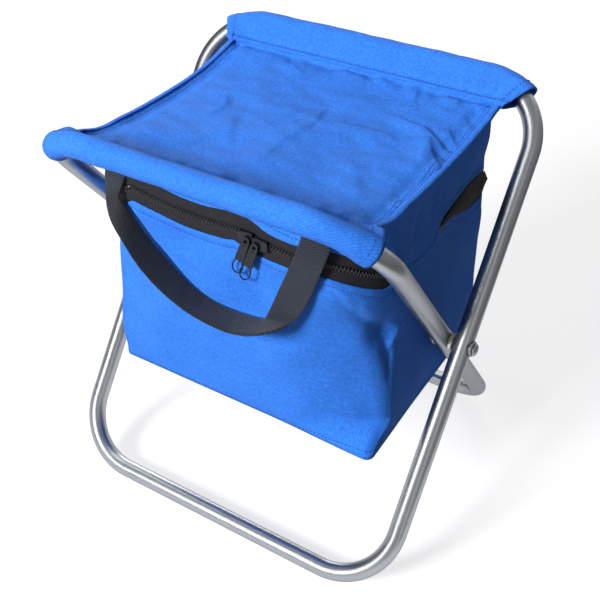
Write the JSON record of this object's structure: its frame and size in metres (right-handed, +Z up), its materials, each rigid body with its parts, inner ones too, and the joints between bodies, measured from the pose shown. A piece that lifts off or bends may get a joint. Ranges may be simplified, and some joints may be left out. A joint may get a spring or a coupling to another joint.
{
  "type": "folding cooler stool",
  "caption": "Folding stool: two crossed steel tube loops carry a cloth seat, and an insulated zip-up cooler bag with a webbing handle hangs below it.",
  "frame": {"origin": "on the floor, below the middle of the seat, halfway between the two foot bars", "axes": "+Z up, +X to the sitter's side of the fold axis, along the pivot rivets, +Y to the back, away from the carry handle"},
  "size_m": [0.352, 0.286, 0.3669],
  "materials": {
    "tube_steel": "satin silver-grey coat over bent steel tube",
    "zinc_steel": "bright zinc plate",
    "washer_nylon": "milky nylon",
    "blue_cloth": "coated polyester, fine weave",
    "white_foam": "closed-cell foam sheet",
    "silver_liner": "metallised film, crinkled",
    "black_webbing": "woven polypropylene",
    "coil_nylon": "satin nylon coil",
    "zip_metal": "black enamel"
  },
  "bodies": {
    "outer_frame": {"outer_loop_tube": "tube_steel", "outer_loop_ferrule": "zinc_steel", "pivot_rivet_right": "zinc_steel", "pivot_rivet_left": "zinc_steel", "outer_saddle_right": "zinc_steel", "outer_saddle_left": "zinc_steel", "pivot_spacer_right": "washer_nylon", "pivot_spacer_left": "washer_nylon", "back_sleeve": "blue_cloth"},
    "inner_frame": {"inner_loop_tube": "tube_steel", "inner_loop_ferrule": "zinc_steel", "inner_saddle_right": "zinc_steel", "inner_saddle_left": "zinc_steel", "front_sleeve": "blue_cloth"},
    "cooler_bag": {"seat_panel": "blue_cloth", "side_binding_left": "blue_cloth", "side_binding_right": "blue_cloth", "lid_foam": "white_foam", "lid_foil": "silver_liner", "lid_skirt": "blue_cloth", "bag_side_left": "blue_cloth", "bag_front": "blue_cloth", "bag_side_right": "blue_cloth", "bag_back": "blue_cloth", "bag_floor": "blue_cloth", "foam_side_left": "white_foam", "foam_front": "white_foam", "foam_side_right": "white_foam", "foam_back": "white_foam", "foam_floor": "white_foam", "bag_liner": "silver_liner", "zip_tape_upper": "black_webbing", "zip_tape_lower": "black_webbing", "zip_coil_upper": "coil_nylon", "zip_coil_lower": "coil_nylon", "zip_end_tab_left": "black_webbing", "zip_end_tab_right": "black_webbing", "handle_anchor_left": "black_webbing", "handle_anchor_right": "black_webbing"},
    "slider_left": {"zip_slider_left": "zip_metal"},
    "slider_right": {"zip_slider_right": "zip_metal"},
    "pull_left": {"zip_pull_left": "zip_metal"},
    "pull_right": {"zip_pull_right": "zip_metal"},
    "handle": {"carry_handle": "black_webbing"}
  },
  "joints": [
    {"name": "fold", "type": "hinge", "parent": "outer_frame", "child": "inner_frame", "pos_m": [0, 0, 0.18403], "axis": [-1, 0, 0], "range_deg": [0, 62]},
    {"name": "bag_follow", "type": "hinge", "parent": "outer_frame", "child": "cooler_bag", "pos_m": [0, 0.05769, 0.16803], "axis": [-1, 0, 0], "range_deg": [0, 31], "deforming": ["seat_panel", "side_binding_left", "side_binding_right", "lid_foam", "lid_foil", "lid_skirt", "bag_side_left", "bag_front", "bag_side_right", "bag_back", "bag_floor", "foam_side_left", "foam_front", "foam_side_right", "foam_back", "foam_floor", "bag_liner", "zip_tape_upper", "zip_tape_lower", "zip_coil_upper", "zip_coil_lower", "zip_end_tab_left", "zip_end_tab_right", "handle_anchor_left", "handle_anchor_right"]},
    {"name": "slider_left_slide", "type": "slide", "parent": "cooler_bag", "child": "slider_left", "axis": [1, 0, 0], "range_m": [-0.082, 0]},
    {"name": "slider_right_slide", "type": "slide", "parent": "cooler_bag", "child": "slider_right", "axis": [1, 0, 0], "range_m": [0, 0.009]},
    {"name": "pull_left_hinge", "type": "hinge", "parent": "slider_left", "child": "pull_left", "pos_m": [0.0344, -0.1165, 0.30898], "axis": [-1, 0, 0], "range_deg": [0, 150]},
    {"name": "pull_right_hinge", "type": "hinge", "parent": "slider_right", "child": "pull_right", "pos_m": [0.0416, -0.1165, 0.30898], "axis": [-1, 0, 0], "range_deg": [0, 150]},
    {"name": "handle_swing", "type": "hinge", "parent": "cooler_bag", "child": "handle", "pos_m": [0, -0.1085, 0.3297], "axis": [-1, 0, 0], "range_deg": [0, 78]}
  ],
  "couplings": [
    {"joint": "bag_follow", "follows": "fold", "ratio": 0.5}
  ]
}
